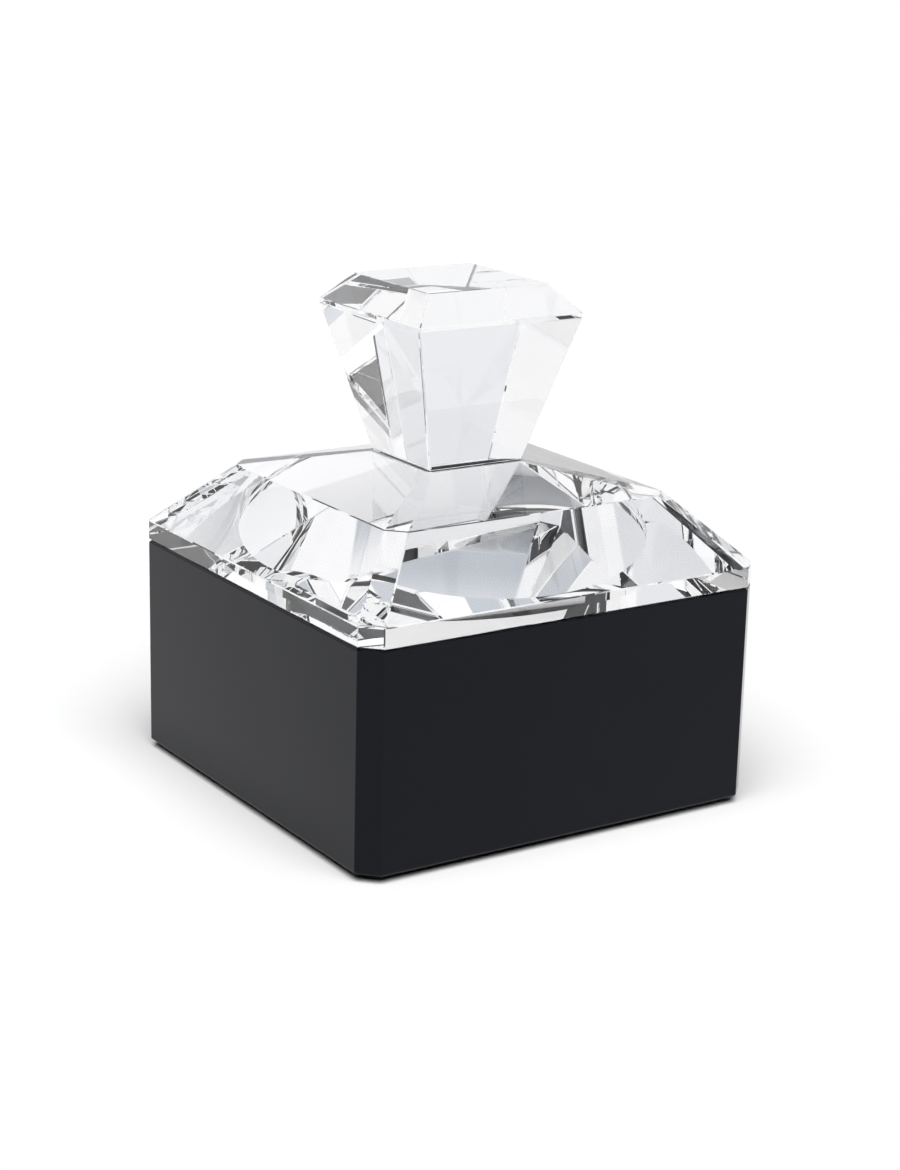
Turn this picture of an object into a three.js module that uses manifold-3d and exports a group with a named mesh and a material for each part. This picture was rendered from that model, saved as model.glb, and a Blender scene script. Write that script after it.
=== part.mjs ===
// Vanity trinket box: a black crystal block with a round well, under a faceted clear crystal lid
// that carries a diamond-cut knob. Millimetres, +Z up, origin at the centre of the footprint,
// on the surface that the box stands on.
import * as THREE from 'three';
import { mergeVertices } from 'three/addons/utils/BufferGeometryUtils.js';
import Module from 'manifold-3d';

const wasm = await Module();
wasm.setup();

// ---------------------------------------------------------------- driving dimensions, mm

// Black crystal base block
const baseWidth = 100;          // across flats, both ways
const baseHeight = 48.3;        // the block alone, without its foot pads
const cornerCut = 3.9;          // leg of the 45 degree cut on each upright corner, base and lid alike
const baseArris = 0.5;          // polished bevel round the base's upper and lower rims

// Round well, core-drilled into the base
const wellWall = 8.25;          // thinnest stretch of wall, midway along each side
const wellDepth = 38;
const wellFloorRadius = 3;      // fillet between the well's wall and its floor
const wellMouthBevel = 0.6;     // polished bevel round the well's mouth

// Lid: upright girdle, steep crown up to a break line, shallow roof up to the knob's seat
const lidOverhang = 0;          // how far the lid's girdle stands out past the base on each side
const girdleHeight = 4.4;
const breakWidth = 70.8;        // across flats at the break line
const breakCornerCut = 3.7;
const crownRise = 14.4;         // from the girdle's upper edge to the break line
const roofRise = 5.1;           // from the break line to the knob's seat
const seatLedge = 0.8;          // flat left showing round the knob's foot
const seatCornerCut = 1.6;

// Locating disc, bonded under the lid
const discHeight = 2.4;
const discClearance = 1.5;      // radial play in the well
const discBevel = 0.5;

// Diamond-cut knob, square in plan
const knobFootWidth = 24;
const knobGirdleWidth = 41.5;
const knobTableWidth = 30.5;
const knobPavilionRise = 31.9;  // from the foot to the girdle's lower edge
const knobGirdleHeight = 1;
const knobCrownRise = 6;
const knobArris = 0.4;          // leg of the bevel on the knob's upright edges

// Clear foot pads
const padDiameter = 8;
const padHeight = 1.5;
const padInset = 12;            // from each side of the base to a pad's centre
const padCrown = 0.6;           // rounding between a pad's side and the face it rests on

// Gaps and joints between pieces
const lidSeatGap = 0.2;         // between the base's rim and the lid's flat underside
const bondGap = 0.3;            // space that each layer of clear adhesive fills
const bondSkin = 0.02;          // left between an adhesive layer and the crystal on each side of it

const roundSteps = 96;          // segments of every large round form
const padSteps = 32;
const filletSteps = 6;

// ---------------------------------------------------------------- heights, from the surface up

const baseBottom = padHeight;
const baseTop = baseBottom + baseHeight;
const wellFloor = baseTop - wellDepth;
const lidBottom = baseTop + lidSeatGap;
const girdleTop = lidBottom + girdleHeight;
const breakLevel = girdleTop + crownRise;
const seatLevel = breakLevel + roofRise;
const knobBottom = seatLevel + bondGap;
const discTop = lidBottom - bondGap;

// ---------------------------------------------------------------- materials

const blackCrystal = { color: 0x1b1a1e, roughness: 0.06, metalness: 0 };
const clearCrystal = { color: 0xf1f3f6, roughness: 0.02, metalness: 0 };
const clearAdhesive = { color: 0xe9ecee, roughness: 0.1, metalness: 0 };
const clearSilicone = { color: 0xdfe1e0, roughness: 0.35, metalness: 0 };

const box = new THREE.Group();

function addPiece(name, geometry, look, position = [0, 0, 0]) {
  const mesh = new THREE.Mesh(geometry, new THREE.MeshStandardMaterial({ ...look, flatShading: true }));
  mesh.name = name;
  mesh.position.set(...position);
  box.add(mesh);
}

// ---------------------------------------------------------------- shapes

// The eight corners of a square of the given width whose corners are cut off at 45 degrees.
function cutSquare({ z, width, corner }) {
  const side = width / 2;
  const start = side - corner;
  return [
    [side, -start], [side, start], [start, side], [-start, side],
    [-side, start], [-side, -start], [-start, -side], [start, -side],
  ].map(([x, y]) => [x, y, z]);
}

// A block with flat facets between cut squares stacked one over another.
function facetedBlock(sections) {
  const rings = sections.map(cutSquare);
  const sides = rings[0].length;
  const triangles = [];
  for (let level = 0; level + 1 < rings.length; level++) {
    for (let i = 0; i < sides; i++) {
      const low = level * sides;
      const high = low + sides;
      const next = (i + 1) % sides;
      triangles.push(low + i, low + next, high + next, low + i, high + next, high + i);
    }
  }
  const top = (rings.length - 1) * sides;
  for (let i = 1; i + 1 < sides; i++) {
    triangles.push(0, i + 1, i, top, top + i, top + i + 1);
  }
  const geometry = new THREE.BufferGeometry();
  geometry.setAttribute('position', new THREE.Float32BufferAttribute(rings.flat(2), 3));
  geometry.setIndex(triangles);
  geometry.computeVertexNormals();
  return geometry;
}

// A solid of revolution about Z. The profile runs from the axis, outwards and up, and back to the axis.
function turned(profile, steps) {
  const points = profile.map(([radius, z]) => new THREE.Vector2(radius, z));
  return new THREE.LatheGeometry(points, steps).rotateX(Math.PI / 2);
}

// Points on a quarter circle about (radius, z), from one angle to the next in degrees.
function arc(centreRadius, centreZ, radius, fromDegrees, toDegrees) {
  const points = [];
  for (let i = 0; i <= filletSteps; i++) {
    const angle = THREE.MathUtils.degToRad(fromDegrees + (toDegrees - fromDegrees) * i / filletSteps);
    points.push([centreRadius + radius * Math.cos(angle), centreZ + radius * Math.sin(angle)]);
  }
  return points;
}

function toSolid(geometry) {
  const bare = geometry.clone();
  bare.deleteAttribute('normal');
  bare.deleteAttribute('uv');
  const merged = mergeVertices(bare, 1e-4);
  const mesh = new wasm.Mesh({
    numProp: 3,
    vertProperties: new Float32Array(merged.attributes.position.array),
    triVerts: new Uint32Array(merged.index.array),
  });
  return new wasm.Manifold(mesh);
}

function toGeometry(solid) {
  const mesh = solid.getMesh();
  const geometry = new THREE.BufferGeometry();
  geometry.setAttribute('position', new THREE.Float32BufferAttribute(mesh.vertProperties, 3));
  geometry.setIndex(new THREE.BufferAttribute(mesh.triVerts, 1));
  geometry.computeVertexNormals();
  return geometry;
}

// ---------------------------------------------------------------- base block and its well

const baseBlock = facetedBlock([
  { z: baseBottom, width: baseWidth - 2 * baseArris, corner: cornerCut },
  { z: baseBottom + baseArris, width: baseWidth, corner: cornerCut },
  { z: baseTop - baseArris, width: baseWidth, corner: cornerCut },
  { z: baseTop, width: baseWidth - 2 * baseArris, corner: cornerCut },
]);

const wellRadius = baseWidth / 2 - wellWall;
const drillTop = baseTop + 1;   // the drilled shape runs out past the rim
const drilledWell = turned([
  [0, wellFloor],
  ...arc(wellRadius - wellFloorRadius, wellFloor + wellFloorRadius, wellFloorRadius, -90, 0),
  [wellRadius, baseTop - wellMouthBevel],
  [wellRadius + wellMouthBevel, baseTop],
  [wellRadius + wellMouthBevel, drillTop],
  [0, drillTop],
], roundSteps);

addPiece('base_block', toGeometry(toSolid(baseBlock).subtract(toSolid(drilledWell))), blackCrystal);

// ---------------------------------------------------------------- foot pads

const padRadius = padDiameter / 2;
const footPad = turned([
  [0, 0],
  ...arc(padRadius - padCrown, padCrown, padCrown, -90, 0),
  [padRadius, padHeight],
  [0, padHeight],
], padSteps);

const padReach = baseWidth / 2 - padInset;
const padPlaces = {
  foot_pad_front_left: [-padReach, -padReach, 0],
  foot_pad_front_right: [padReach, -padReach, 0],
  foot_pad_back_left: [-padReach, padReach, 0],
  foot_pad_back_right: [padReach, padReach, 0],
};
for (const [name, place] of Object.entries(padPlaces)) {
  addPiece(name, footPad.clone(), clearSilicone, place);
}

// ---------------------------------------------------------------- lid

const lidWidth = baseWidth + 2 * lidOverhang;
const seatWidth = knobFootWidth + 2 * seatLedge;
const lidCrown = facetedBlock([
  { z: lidBottom, width: lidWidth, corner: cornerCut },
  { z: girdleTop, width: lidWidth, corner: cornerCut },
  { z: breakLevel, width: breakWidth, corner: breakCornerCut },
  { z: seatLevel, width: seatWidth, corner: seatCornerCut },
]);
addPiece('lid_crown', lidCrown, clearCrystal);

// ---------------------------------------------------------------- locating disc and its adhesive

const discRadius = wellRadius - discClearance;
const locatingDisc = turned([
  [0, discTop - discHeight],
  [discRadius - discBevel, discTop - discHeight],
  [discRadius, discTop - discHeight + discBevel],
  [discRadius, discTop],
  [0, discTop],
], roundSteps);
addPiece('locating_disc', locatingDisc, clearCrystal);

const discBond = turned([
  [0, discTop + bondSkin],
  [discRadius, discTop + bondSkin],
  [discRadius, lidBottom - bondSkin],
  [0, lidBottom - bondSkin],
], roundSteps);
addPiece('disc_bond', discBond, clearAdhesive);

// ---------------------------------------------------------------- knob and its adhesive

const knobGirdleLow = knobBottom + knobPavilionRise;
const knobGirdleHigh = knobGirdleLow + knobGirdleHeight;
const knob = facetedBlock([
  { z: knobBottom, width: knobFootWidth, corner: knobArris },
  { z: knobGirdleLow, width: knobGirdleWidth, corner: knobArris },
  { z: knobGirdleHigh, width: knobGirdleWidth, corner: knobArris },
  { z: knobGirdleHigh + knobCrownRise, width: knobTableWidth, corner: knobArris },
]);
addPiece('knob', knob, clearCrystal);

const knobBond = facetedBlock([
  { z: seatLevel + bondSkin, width: knobFootWidth, corner: knobArris },
  { z: knobBottom - bondSkin, width: knobFootWidth, corner: knobArris },
]);
addPiece('knob_bond', knobBond, clearAdhesive);

export default box;
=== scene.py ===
import math

import bmesh
import bpy
from mathutils import Matrix, Vector
from mathutils.geometry import delaunay_2d_cdt


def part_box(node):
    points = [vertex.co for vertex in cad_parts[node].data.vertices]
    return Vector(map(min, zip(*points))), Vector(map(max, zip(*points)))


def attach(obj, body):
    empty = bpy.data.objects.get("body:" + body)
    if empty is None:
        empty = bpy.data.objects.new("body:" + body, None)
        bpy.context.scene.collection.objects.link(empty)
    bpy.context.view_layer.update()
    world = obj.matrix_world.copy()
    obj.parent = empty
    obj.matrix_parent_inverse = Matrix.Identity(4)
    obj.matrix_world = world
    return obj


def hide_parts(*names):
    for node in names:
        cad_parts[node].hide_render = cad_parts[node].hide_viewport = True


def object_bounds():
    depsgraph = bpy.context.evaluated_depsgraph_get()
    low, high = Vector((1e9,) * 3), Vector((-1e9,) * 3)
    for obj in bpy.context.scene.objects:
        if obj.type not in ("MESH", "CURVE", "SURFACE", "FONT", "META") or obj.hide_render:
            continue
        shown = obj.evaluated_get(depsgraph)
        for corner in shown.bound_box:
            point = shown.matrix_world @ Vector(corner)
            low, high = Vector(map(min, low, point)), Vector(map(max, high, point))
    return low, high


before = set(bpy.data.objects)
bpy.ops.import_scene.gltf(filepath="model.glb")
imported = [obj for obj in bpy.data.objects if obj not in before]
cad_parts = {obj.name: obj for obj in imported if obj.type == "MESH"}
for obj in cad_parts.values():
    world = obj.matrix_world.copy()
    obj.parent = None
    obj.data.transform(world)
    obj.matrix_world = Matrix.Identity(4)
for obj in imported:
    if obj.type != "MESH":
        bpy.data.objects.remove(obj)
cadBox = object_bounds()
scene = bpy.context.scene
mm = 0.001
same = 0.01 * mm  # two coordinates closer than this are one
mixA, mixB, mixResult = 6, 7, 2  # a Mix node's colour sockets, by number: others have the same names
ownFinish, bondedFinish = 0, 1  # which of a crystal piece's two materials a face takes


# small helpers

def toLinear(hexColour):
    # sRGB hex to the linear colour that a shader wants
    values = [int(hexColour[i:i + 2], 16) / 255 for i in (1, 3, 5)]
    linear = [v / 12.92 if v <= 0.04045 else ((v + 0.055) / 1.055) ** 2.4 for v in values]
    return (*linear, 1.0)


def addNode(tree, kind, inputs=None, **settings):
    # an input given as (node, output) is linked, and any other value is set on the socket
    node = tree.nodes.new(kind)
    for key, value in settings.items():
        setattr(node, key, value)
    for key, value in (inputs or {}).items():
        if isinstance(value, tuple) and isinstance(value[0], bpy.types.Node):
            tree.links.new(value[0].outputs[value[1]], node.inputs[key])
        else:
            node.inputs[key].default_value = value
    return node


def newMaterial(name):
    # a material whose node tree holds only its output
    material = bpy.data.materials.new(name)
    material.use_nodes = True
    tree = material.node_tree
    tree.nodes.clear()
    return material, tree, tree.nodes.new("ShaderNodeOutputMaterial")


def scaleFor(wavelength):
    # the scale that puts a noise texture's bumps about one wavelength apart, in mm
    return 1 / (wavelength * mm)


def newPiece(name, mesh, *materials):
    mesh.normal_update()
    data = bpy.data.meshes.new(name)
    mesh.to_mesh(data)
    mesh.free()
    for material in materials:
        data.materials.append(material)
    piece = bpy.data.objects.new(name, data)
    scene.collection.objects.link(piece)
    return piece


def settle(piece, body, slot, *nodes):
    # the piece moves with its body and stands for its CAD nodes
    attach(piece, body)
    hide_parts(*nodes)
    print("made", piece.name, len(piece.data.polygons), "faces")
    return piece


# sizes read back from the frame

def sectionsOf(node, beyond=0.0):
    # (height, half width, corner cut) of each level of a node that is a stack of cut squares
    levels = {}
    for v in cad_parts[node].data.vertices:
        if max(abs(v.co.x), abs(v.co.y)) > beyond:
            levels.setdefault(round(v.co.z / same), []).append(v.co)
    sections = []
    for key in sorted(levels):
        points = levels[key]
        half = max(p.x for p in points)
        straight = max(p.y for p in points if p.x > half - same)
        sections.append((points[0].z, half, half - straight))
    return sections


def profileOf(node, within=math.inf):
    # (radius, height) of each ring of a node that is turned about Z, from the bottom up
    rings = {}
    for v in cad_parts[node].data.vertices:
        radius = math.hypot(v.co.x, v.co.y)
        if same < radius < within:
            rings[round(v.co.z / same), round(radius / same)] = (radius, v.co.z)
    return [rings[key] for key in sorted(rings)]


# shapes

def cutSquare(z, half, corner):
    straight = half - corner
    return [Vector((x, y, z)) for x, y in (
        (half, -straight), (half, straight), (straight, half), (-straight, half),
        (-half, straight), (-half, -straight), (-straight, -half), (straight, -half))]


def facetedBlock(sections, arris):
    # flat facets between cut squares, with a narrow polished arris along every edge
    block = bmesh.new()
    rings = [[block.verts.new(p) for p in cutSquare(*s)] for s in sections]
    for low, high in zip(rings, rings[1:]):
        for i in range(len(low)):
            j = (i + 1) % len(low)
            block.faces.new((low[i], low[j], high[j], high[i]))
    block.faces.new(list(reversed(rings[0])))
    block.faces.new(rings[-1])
    bmesh.ops.bevel(block, geom=block.edges[:], offset=arris, segments=1, affect="EDGES", clamp_overlap=True)
    block.normal_update()
    return block


def circlePoints(radius, z, steps):
    turn = 2 * math.pi / steps
    return [Vector((radius * math.cos(i * turn), radius * math.sin(i * turn), z)) for i in range(steps)]


def markPatch(block, face, outline, materialIndex):
    # cuts an outline into a flat, level face
    # what lies inside it gets a material of its own, or is left as a hole if that is None
    facesUp = face.normal.z > 0
    rim = [loop.vert for loop in face.loops]
    if not facesUp:
        rim.reverse()
    block.faces.remove(face)
    points = [block.verts.new(p) for p in outline]
    corners = rim + points
    loops = [list(range(len(rim))), list(range(len(rim), len(corners)))]
    insideOnly = 1
    weldDistance = 1e-4  # mm
    _, _, triangles, sources, _, owners = delaunay_2d_cdt(
        [corner.co.xy / mm for corner in corners], [], loops, insideOnly, weldDistance)
    for triangle, owner in zip(triangles, owners):
        if owner == [0]:
            ring = [corners[sources[k][0]] for k in triangle]
            block.faces.new(ring if facesUp else list(reversed(ring)))
    if materialIndex is not None:
        patch = block.faces.new(points if facesUp else list(reversed(points)))
        patch.material_index = materialIndex
    bmesh.ops.recalc_face_normals(block, faces=block.faces[:])
    return points


def turned(profile, steps, materialIndices=None):
    # a closed solid turned about Z; the profile goes from the axis outwards and back to it
    solid = bmesh.new()
    columns = []
    for radius, z in profile:
        if radius < same:
            columns.append([solid.verts.new((0, 0, z))])
        else:
            columns.append([solid.verts.new(p) for p in circlePoints(radius, z, steps)])
    for k, (a, b) in enumerate(zip(columns, columns[1:])):
        for i in range(steps):
            j = (i + 1) % steps
            corners = [a[i % len(a)], a[j % len(a)], b[j % len(b)], b[i % len(b)]]
            face = solid.faces.new(list(dict.fromkeys(corners)))
            face.smooth = True
            face.material_index = materialIndices[k] if materialIndices else ownFinish
    bmesh.ops.recalc_face_normals(solid, faces=solid.faces[:])
    return solid


def roundedProfile(profile, radii, steps):
    # each corner of an open profile rounded to its radius, with straight runs between
    rounded = []
    for k, (here, radius) in enumerate(zip(profile, radii)):
        if radius == 0:
            rounded.append(tuple(here))
            continue
        point = Vector(here)
        back = (Vector(profile[k - 1]) - point).normalized()
        ahead = (Vector(profile[k + 1]) - point).normalized()
        reach = radius / math.tan(back.angle(ahead) / 2)
        centre = point + (back + ahead).normalized() * math.hypot(reach, radius)
        start = (point + back * reach - centre).normalized()
        end = (point + ahead * reach - centre).normalized()
        for i in range(steps + 1):
            rounded.append(tuple(centre + start.slerp(end, i / steps) * radius))
    return rounded


# materials

crystalLook = {
    "tint": "#f8f8f9",       # colourless optical crystal
    "striaTint": "#f6f6f7",  # very slightly denser streaks in the melt
    "ior": 1.52,
    "roughness": 0.0,
    "striaWavelength": 26,   # mm
    "lapWavelength": 17,     # mm, how far apart the faint waves left by lapping are
    "lapDepth": 0.0004,      # mm
}


def clearCrystal(look):
    # optical crystal, sawn, lapped and polished: colourless and sharp, with hardly visible waviness
    material, tree, output = newMaterial("polishedClearCrystal")
    place = addNode(tree, "ShaderNodeTexCoord")
    stria = addNode(tree, "ShaderNodeTexNoise", {
        "Vector": (place, "Object"), "Scale": scaleFor(look["striaWavelength"])})
    tint = addNode(tree, "ShaderNodeMix", {
        "Factor": (stria, "Fac"), mixA: toLinear(look["tint"]), mixB: toLinear(look["striaTint"])},
        data_type="RGBA")
    lapping = addNode(tree, "ShaderNodeTexNoise", {
        "Vector": (place, "Object"), "Scale": scaleFor(look["lapWavelength"]), "Detail": 0.0})
    waves = addNode(tree, "ShaderNodeBump", {"Height": (lapping, "Fac"), "Distance": look["lapDepth"] * mm})
    shader = addNode(tree, "ShaderNodeBsdfPrincipled", {
        "Base Color": (tint, mixResult), "Normal": (waves, "Normal"), "Roughness": look["roughness"],
        "IOR": look["ior"], "Transmission Weight": 1.0})
    tree.links.new(shader.outputs["BSDF"], output.inputs["Surface"])
    return material


bondLook = {
    "tint": "#ffffff",
    "cloud": "#fdfdfd",      # hardly visible cloudiness of the cured film
    "cloudWavelength": 6,    # mm
    "contactRoughness": 0.0,
    "contactIor": 1.0,       # no step in index between the film and the crystal
    "sideRoughness": 0.06,
    "sideIor": 1.5,
}


def clearFilm(name, look, roughness, ior):
    # a hardly clouded, clear film
    material, tree, output = newMaterial(name)
    place = addNode(tree, "ShaderNodeTexCoord")
    cloud = addNode(tree, "ShaderNodeTexNoise", {
        "Vector": (place, "Object"), "Scale": scaleFor(look["cloudWavelength"])})
    tint = addNode(tree, "ShaderNodeMix", {
        "Factor": (cloud, "Fac"), mixA: toLinear(look["tint"]), mixB: toLinear(look["cloud"])},
        data_type="RGBA")
    shader = addNode(tree, "ShaderNodeBsdfPrincipled", {
        "Base Color": (tint, mixResult), "Roughness": roughness, "IOR": ior, "Transmission Weight": 1.0})
    tree.links.new(shader.outputs["BSDF"], output.inputs["Surface"])
    return material


def bondContact(look):
    # cured clear adhesive wetting crystal of the same index: light neither turns nor bounces back there
    return clearFilm("wettedBondContact", look, look["contactRoughness"], look["contactIor"])


def curedAdhesive(look):
    # ultraviolet-cured acrylic adhesive, wiped off flush: clear, with a slightly satin edge
    return clearFilm("curedClearAdhesive", look, look["sideRoughness"], look["sideIor"])


blackLook = {
    "body": "#06070b",
    "depth": "#0b0c12",      # a trace of lighter glass in the melt
    "ior": 1.26,             # below that of crystal: matched to how little the sides mirror
    "mirrorTint": "#f0f3ff",
    "smoothest": 0.015,      # roughness where the polish is best
    "dullest": 0.05,         # and where it is worst
    "hazeWavelength": 22,    # mm
    "hazeRange": (0.3, 0.7),  # the stretch of the noise that goes from the best polish to the worst
    "lapWavelength": 30,     # mm
    "lapDepth": 0.0006,      # mm
}


def blackCrystal(look):
    # solid black crystal, ground and polished all over: deep black under a calm, sharp mirror
    material, tree, output = newMaterial("polishedBlackCrystal")
    place = addNode(tree, "ShaderNodeTexCoord")
    haze = addNode(tree, "ShaderNodeTexNoise", {
        "Vector": (place, "Object"), "Scale": scaleFor(look["hazeWavelength"]), "Detail": 3.0})
    body = addNode(tree, "ShaderNodeMix", {
        "Factor": (haze, "Fac"), mixA: toLinear(look["body"]), mixB: toLinear(look["depth"])},
        data_type="RGBA")
    clearest, haziest = look["hazeRange"]
    polish = addNode(tree, "ShaderNodeMapRange", {
        "Value": (haze, "Fac"), "From Min": clearest, "From Max": haziest,
        "To Min": look["smoothest"], "To Max": look["dullest"]})
    lapping = addNode(tree, "ShaderNodeTexNoise", {
        "Vector": (place, "Object"), "Scale": scaleFor(look["lapWavelength"]), "Detail": 0.0})
    waves = addNode(tree, "ShaderNodeBump", {"Height": (lapping, "Fac"), "Distance": look["lapDepth"] * mm})
    shader = addNode(tree, "ShaderNodeBsdfPrincipled", {
        "Base Color": (body, mixResult), "Roughness": (polish, "Result"), "Normal": (waves, "Normal"),
        "IOR": look["ior"], "Specular Tint": toLinear(look["mirrorTint"])})
    tree.links.new(shader.outputs["BSDF"], output.inputs["Surface"])
    return material


siliconeLook = {
    "clear": "#e9ebea",
    "milky": "#d6d9d8",
    "ior": 1.41,
    "roughness": 0.32,
    "through": 0.75,         # share of light that passes through
    "mottle": 1.6,           # mm
    "skinGrain": 0.35,       # mm, orange-peel of the moulded skin
    "skinDepth": 0.01,       # mm
    "skinStrength": 0.6,
}


def clearSilicone(look):
    # moulded clear silicone bumper: soft, slightly milky, with a satin skin
    material, tree, output = newMaterial("mouldedClearSilicone")
    place = addNode(tree, "ShaderNodeTexCoord")
    mottle = addNode(tree, "ShaderNodeTexNoise", {
        "Vector": (place, "Object"), "Scale": scaleFor(look["mottle"])})
    tint = addNode(tree, "ShaderNodeMix", {
        "Factor": (mottle, "Fac"), mixA: toLinear(look["clear"]), mixB: toLinear(look["milky"])},
        data_type="RGBA")
    grain = addNode(tree, "ShaderNodeTexNoise", {
        "Vector": (place, "Object"), "Scale": scaleFor(look["skinGrain"])})
    skin = addNode(tree, "ShaderNodeBump", {
        "Height": (grain, "Fac"), "Strength": look["skinStrength"], "Distance": look["skinDepth"] * mm})
    shader = addNode(tree, "ShaderNodeBsdfPrincipled", {
        "Base Color": (tint, mixResult), "Normal": (skin, "Normal"), "Roughness": look["roughness"],
        "IOR": look["ior"], "Transmission Weight": look["through"]})
    tree.links.new(shader.outputs["BSDF"], output.inputs["Surface"])
    return material


crystal = clearCrystal(crystalLook)
contact = bondContact(bondLook)
adhesive = curedAdhesive(bondLook)
black = blackCrystal(blackLook)
silicone = clearSilicone(siliconeLook)
print("materials ready")


# camera

cameraView = {
    "azimuth": -33.3,        # degrees; 0 looks along +Y
    "elevation": 16.34,
    "roll": 1.39,
    "distance": 0.5556,      # metres, from the point that it looks at
    "lens": 76.37,           # mm on a 36 mm frame
    "aside": 0.0018,         # metres, how far right of the middle it looks
    "height": 0.387,         # where it looks, as a share of the object's height
    "nearest": 0.01,         # metres, what is nearer isn't drawn
}


def placeCamera(view):
    low, high = cadBox
    azimuth, elevation, roll = (math.radians(view[key]) for key in ("azimuth", "elevation", "roll"))
    back = Vector((math.sin(azimuth) * math.cos(elevation), -math.cos(azimuth) * math.cos(elevation),
                   math.sin(elevation)))
    level = Vector((math.cos(azimuth), math.sin(azimuth), 0))
    upright = back.cross(level)
    right = math.cos(roll) * level + math.sin(roll) * upright
    up = back.cross(right)
    target = Vector((view["aside"], 0, view["height"] * (high[2] - low[2])))
    camera = bpy.data.objects.new("camera", bpy.data.cameras.new("camera"))
    camera.data.lens = view["lens"]
    camera.data.clip_start = view["nearest"]
    camera.matrix_world = Matrix.Translation(target + back * view["distance"]) @ Matrix(
        (right, up, back)).transposed().to_4x4()
    scene.collection.objects.link(camera)
    scene.camera = camera


placeCamera(cameraView)


# base block with its round well

baseLook = {
    "arris": 0.12,           # mm, polished bevel along the upright edges and facets
    "wellSteps": 192,
    "filletSteps": 10,
    "mouthArris": 0.12,      # mm
    "outsideFrom": 0.9,      # share of the half width beyond which a corner belongs to the block's outside
}


def makeBase(look):
    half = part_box("base_block")[1].x
    outside = look["outsideFrom"] * half
    drilled = profileOf("base_block", within=outside)
    mouthRadius, top = drilled[-1]
    wallRadius, mouthLow = drilled[-2]
    floor = drilled[0][1]
    filletTop = min(z for radius, z in drilled if radius > wallRadius - same)
    block = facetedBlock(sectionsOf("base_block", beyond=outside), look["arris"] * mm)
    rim = max(block.faces, key=lambda face: face.calc_center_median().z)
    mouth = markPatch(block, rim, circlePoints(mouthRadius, top, look["wellSteps"]), None)
    corners = [(mouthRadius, top), (wallRadius, mouthLow), (wallRadius, floor), (0, floor)]
    profile = roundedProfile(corners, (0, look["mouthArris"] * mm, filletTop - floor, 0), look["filletSteps"])
    above = mouth
    for radius, z in profile[1:]:
        if radius < same:
            below = [block.verts.new((0, 0, z))]
        else:
            below = [block.verts.new(p) for p in circlePoints(radius, z, look["wellSteps"])]
        for i in range(len(above)):
            j = (i + 1) % len(above)
            ring = [above[i], above[j], below[j % len(below)], below[i % len(below)]]
            block.faces.new(list(dict.fromkeys(ring))).smooth = True
        above = below
    bmesh.ops.recalc_face_normals(block, faces=block.faces[:])
    piece = newPiece("baseBlock", block, black)
    return settle(piece, "base", "black_crystal", "base_block")


makeBase(baseLook)


# four clear foot pads, one shape repeated on a grid

padLook = {
    "steps": 64,
    "edgeSteps": 8,
    "topEdge": 0.25,         # mm, rounding where the pad meets the block
    "sharpFrom": 30,         # degrees between faces, from which an edge stays sharp
}


def padGrid(spacingX, spacingY, piece):
    # Geometry Nodes: the piece's own mesh on the corners of a 2 by 2 grid
    tree = bpy.data.node_groups.new("padGrid", "GeometryNodeTree")
    tree.interface.new_socket("Geometry", in_out="INPUT", socket_type="NodeSocketGeometry")
    inputs = {"Spacing X": spacingX, "Spacing Y": spacingY}
    sockets = {name: tree.interface.new_socket(name, in_out="INPUT", socket_type="NodeSocketFloat")
               for name in inputs}
    finish = tree.interface.new_socket("Finish", in_out="INPUT", socket_type="NodeSocketMaterial")
    tree.interface.new_socket("Geometry", in_out="OUTPUT", socket_type="NodeSocketGeometry")
    given = addNode(tree, "NodeGroupInput")
    corners = addNode(tree, "GeometryNodeMeshGrid", {
        "Size X": (given, "Spacing X"), "Size Y": (given, "Spacing Y"), "Vertices X": 2, "Vertices Y": 2})
    copies = addNode(tree, "GeometryNodeInstanceOnPoints", {
        "Points": (corners, "Mesh"), "Instance": (given, "Geometry")})
    real = addNode(tree, "GeometryNodeRealizeInstances", {"Geometry": (copies, "Instances")})
    finished = addNode(tree, "GeometryNodeSetMaterial", {
        "Geometry": (real, "Geometry"), "Material": (given, "Finish")})
    addNode(tree, "NodeGroupOutput", {"Geometry": (finished, "Geometry")})
    modifier = piece.modifiers.new("padGrid", "NODES")
    modifier.node_group = tree
    for name, value in inputs.items():
        modifier[sockets[name].identifier] = value
    modifier[finish.identifier] = silicone
    return modifier


def bake(piece, modifier):
    # the evaluated result becomes the piece's own plain mesh
    evaluated = piece.evaluated_get(bpy.context.evaluated_depsgraph_get())
    mesh = bpy.data.meshes.new_from_object(evaluated)
    piece.modifiers.remove(modifier)
    piece.data = mesh


def flatRadiusOf(node, middle):
    # radius of the flat end of a pad, about the pad's own axis
    reaches = [(v.co.xy - middle.xy).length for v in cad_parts[node].data.vertices]
    return min(reach for reach in reaches if reach > same)


def makePads(look):
    names = ["foot_pad_" + place for place in ("front_left", "front_right", "back_left", "back_right")]
    boxes = [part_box(name) for name in names]
    middles = [(low + high) / 2 for low, high in boxes]
    low, high = boxes[0]
    radius = (high.x - low.x) / 2
    flatRadius = flatRadiusOf(names[0], middles[0])
    corners = [(0, low.z), (radius, low.z), (radius, high.z), (0, high.z)]
    profile = roundedProfile(corners, (0, radius - flatRadius, look["topEdge"] * mm, 0), look["edgeSteps"])
    piece = newPiece("footPads", turned(profile, look["steps"]), silicone)
    modifier = padGrid(middles[1].x - middles[0].x, middles[2].y - middles[0].y, piece)
    bake(piece, modifier)
    piece.data.set_sharp_from_angle(angle=math.radians(look["sharpFrom"]))
    return settle(piece, "base", "clear_silicone", *names)


makePads(padLook)


# lid, with the two faces that its neighbours are bonded to

lidLook = {
    "arris": 0.18,           # mm, narrow polished bevel along every edge
    "discSteps": 192,
}


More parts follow.
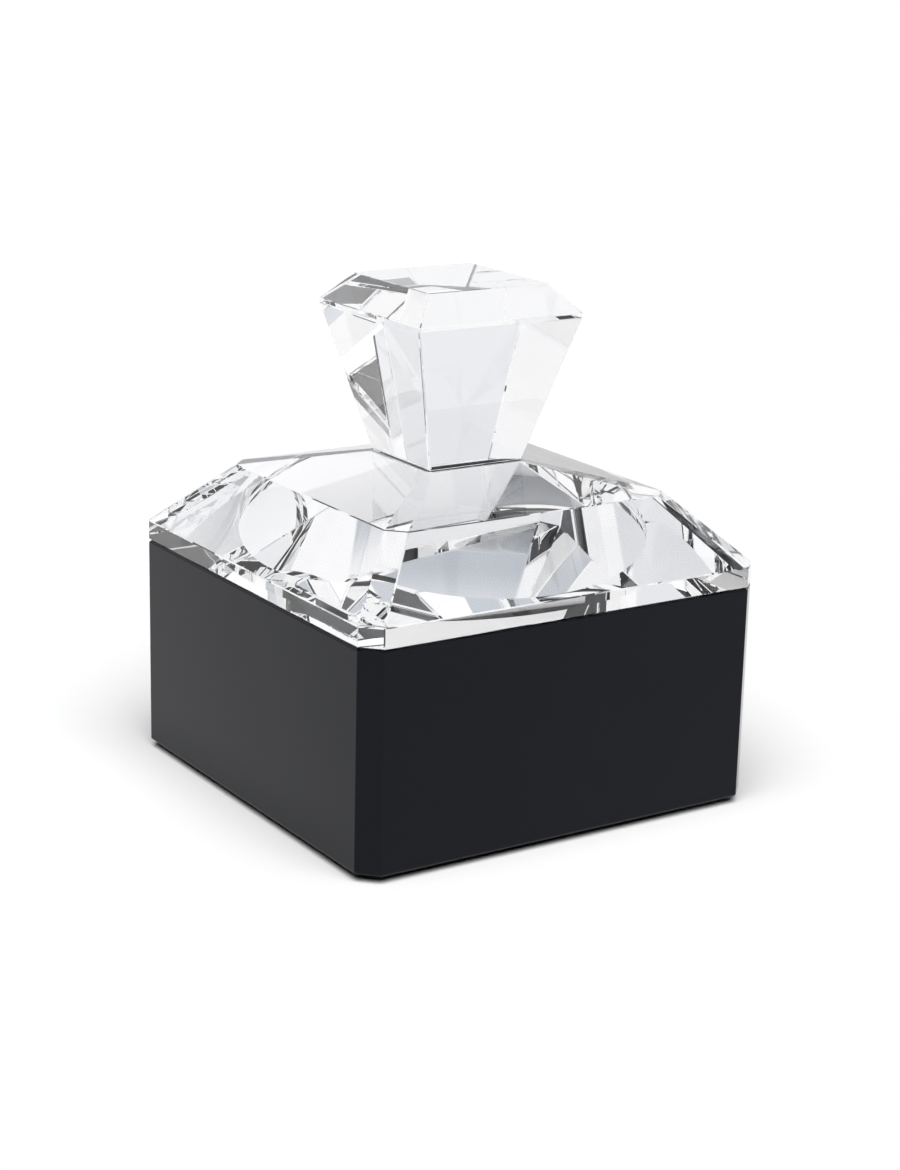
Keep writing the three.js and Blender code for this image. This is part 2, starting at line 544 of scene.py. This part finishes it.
def makeLid(look):
    block = facetedBlock(sectionsOf("lid_crown"), look["arris"] * mm)
    low, top = (corner.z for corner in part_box("lid_crown"))
    seat = max(block.faces, key=lambda face: face.calc_center_median().z)
    foot = sectionsOf("knob")[0]
    markPatch(block, seat, cutSquare(top, *foot[1:]), bondedFinish)
    underside = min(block.faces, key=lambda face: face.calc_center_median().z)
    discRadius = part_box("locating_disc")[1].x
    markPatch(block, underside, circlePoints(discRadius, low, look["discSteps"]), bondedFinish)
    piece = newPiece("lidCrown", block, crystal, contact)
    return settle(piece, "lid", "clear_crystal", "lid_crown")


makeLid(lidLook)


# locating disc and the adhesive film over it

discLook = {
    "steps": 192,
    "edgeSteps": 5,
    "lowArris": 0.15,        # mm, rounding on both sides of the disc's lower bevel
    "sharpFrom": 20,         # degrees between faces, from which an edge stays sharp
}


def makeDisc(look):
    (bevelRadius, low), (radius, bevelTop), (_, top) = profileOf("locating_disc")
    corners = [(0, low), (bevelRadius, low), (radius, bevelTop), (radius, top), (0, top)]
    arris = look["lowArris"] * mm
    profile = roundedProfile(corners, (0, arris, arris, 0, 0), look["edgeSteps"])
    materialIndices = [ownFinish] * (len(profile) - 2) + [bondedFinish]
    piece = newPiece("locatingDisc", turned(profile, look["steps"], materialIndices), crystal, contact)
    piece.data.set_sharp_from_angle(angle=math.radians(look["sharpFrom"]))
    return settle(piece, "lid", "clear_crystal", "locating_disc")


def makeDiscBond(look):
    low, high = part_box("disc_bond")
    corners = [(0, low.z), (high.x, low.z), (high.x, high.z), (0, high.z)]
    film = turned(corners, look["steps"], [bondedFinish, ownFinish, bondedFinish])
    piece = newPiece("discBondFilm", film, adhesive, contact)
    piece.data.set_sharp_from_angle(angle=math.radians(look["sharpFrom"]))
    return settle(piece, "lid", "clear_adhesive", "disc_bond")


makeDisc(discLook)
makeDiscBond(discLook)


# diamond-cut knob and its film

knobLook = {
    "arris": 0.12,           # mm
}


def makeKnob(look):
    block = facetedBlock(sectionsOf("knob"), look["arris"] * mm)
    foot = min(block.faces, key=lambda face: face.calc_center_median().z)
    foot.material_index = bondedFinish
    piece = newPiece("diamondKnob", block, crystal, contact)
    return settle(piece, "lid", "clear_crystal", "knob")


def makeKnobBond():
    block = bmesh.new()
    rings = [[block.verts.new(p) for p in cutSquare(*s)] for s in sectionsOf("knob_bond")]
    for i in range(len(rings[0])):
        j = (i + 1) % len(rings[0])
        block.faces.new((rings[0][i], rings[0][j], rings[1][j], rings[1][i]))
    block.faces.new(list(reversed(rings[0]))).material_index = bondedFinish
    block.faces.new(rings[1]).material_index = bondedFinish
    piece = newPiece("knobBondFilm", block, adhesive, contact)
    return settle(piece, "lid", "clear_adhesive", "knob_bond")


makeKnob(knobLook)
makeKnobBond()


# floor, sky and lamp

studio = {
    "floorRadius": 8.0,      # metres
    "floorSteps": 64,
    "floorColour": "#f2f2f2",
    "floorMottle": "#f5f5f5",
    "mottleWavelength": 40,  # mm
    "floorRoughness": 0.8,
    "floorSpecular": 0.1,
    "skyStops": [            # sine of the height above the horizon, and the colour of the sky there
        (-1.0, "#eeeef0"), (0.0, "#e9eaed"), (0.2, "#eeeff1"), (0.45, "#fdfdfd"), (0.66, "#fbfbfc"),
        (0.71, "#bdc3ca"), (0.84, "#c2c6cb"), (0.9, "#ffffff")],
    "frontBrightness": 1.22,
    "backBrightness": 1.04,
    "lampTilt": (22, -14),   # degrees, how far the overhead light leans about X and Y
    "lampSpread": 60,        # degrees across, so its shadows are soft
    "lampStrength": 3.9,     # watts on each square metre
    "glassBounces": 32,      # light passes many faces inside the crystal before it gets out
    "mirrorBounces": 16,
}


def makeFloor(look):
    # matt white paper sweep, with hardly visible mottling
    material, tree, output = newMaterial("matteWhiteSweep")
    place = addNode(tree, "ShaderNodeTexCoord")
    mottle = addNode(tree, "ShaderNodeTexNoise", {
        "Vector": (place, "Object"), "Scale": scaleFor(look["mottleWavelength"])})
    tone = addNode(tree, "ShaderNodeMix", {
        "Factor": (mottle, "Fac"), mixA: toLinear(look["floorColour"]), mixB: toLinear(look["floorMottle"])},
        data_type="RGBA")
    shader = addNode(tree, "ShaderNodeBsdfPrincipled", {
        "Base Color": (tone, mixResult), "Roughness": look["floorRoughness"],
        "Specular IOR Level": look["floorSpecular"]})
    tree.links.new(shader.outputs["BSDF"], output.inputs["Surface"])
    disc = bmesh.new()
    disc.faces.new([disc.verts.new(p) for p in circlePoints(look["floorRadius"], 0, look["floorSteps"])])
    newPiece("floor", disc, material)


def makeSky(look):
    # a white tent, greyer near the floor and in one band high up, and brighter at the front
    world = bpy.data.worlds.new("studioSky")
    world.use_nodes = True
    tree = world.node_tree
    tree.nodes.clear()
    place = addNode(tree, "ShaderNodeTexCoord")
    parts = addNode(tree, "ShaderNodeSeparateXYZ", {"Vector": (place, "Generated")})
    height = addNode(tree, "ShaderNodeMapRange", {"Value": (parts, "Z"), "From Min": -1.0, "From Max": 1.0})
    ramp = addNode(tree, "ShaderNodeValToRGB", {"Fac": (height, "Result")})
    stops = ramp.color_ramp.elements
    stops.remove(stops[0])  # a new ramp has two stops of its own; the other goes once the rest are in
    for sine, colour in look["skyStops"]:
        stop = stops.new((sine + 1) / 2)
        stop.color = toLinear(colour)
    stops.remove(stops[-1])
    depth = addNode(tree, "ShaderNodeMapRange", {
        "Value": (parts, "Y"), "From Min": -1.0, "From Max": 1.0,
        "To Min": look["frontBrightness"], "To Max": look["backBrightness"]})
    sky = addNode(tree, "ShaderNodeBackground", {"Color": (ramp, "Color"), "Strength": (depth, "Result")})
    addNode(tree, "ShaderNodeOutputWorld", {"Surface": (sky, "Background")})
    scene.world = world
    world.cycles_visibility.diffuse = False  # the crystal shows the sky, and the lamp alone lights the floor


def makeLamp(look):
    # one wide overhead light, even over the whole floor and unseen in the crystal
    lamp = bpy.data.lights.new("overheadLight", "SUN")
    lamp.energy = look["lampStrength"]
    lamp.angle = math.radians(look["lampSpread"])
    holder = bpy.data.objects.new(lamp.name, lamp)
    holder.rotation_euler = [math.radians(tilt) for tilt in (*look["lampTilt"], 0)]
    holder.visible_glossy = False
    holder.visible_transmission = False
    scene.collection.objects.link(holder)


makeFloor(studio)
makeSky(studio)
makeLamp(studio)

scene.cycles.max_bounces = studio["glassBounces"]
scene.cycles.transmission_bounces = studio["glassBounces"]
scene.cycles.transparent_max_bounces = studio["glassBounces"]
scene.cycles.glossy_bounces = studio["mirrorBounces"]
scene.cycles.caustics_refractive = True
scene.cycles.caustics_reflective = False
scene.view_settings.view_transform = "Standard"
print("studio ready")
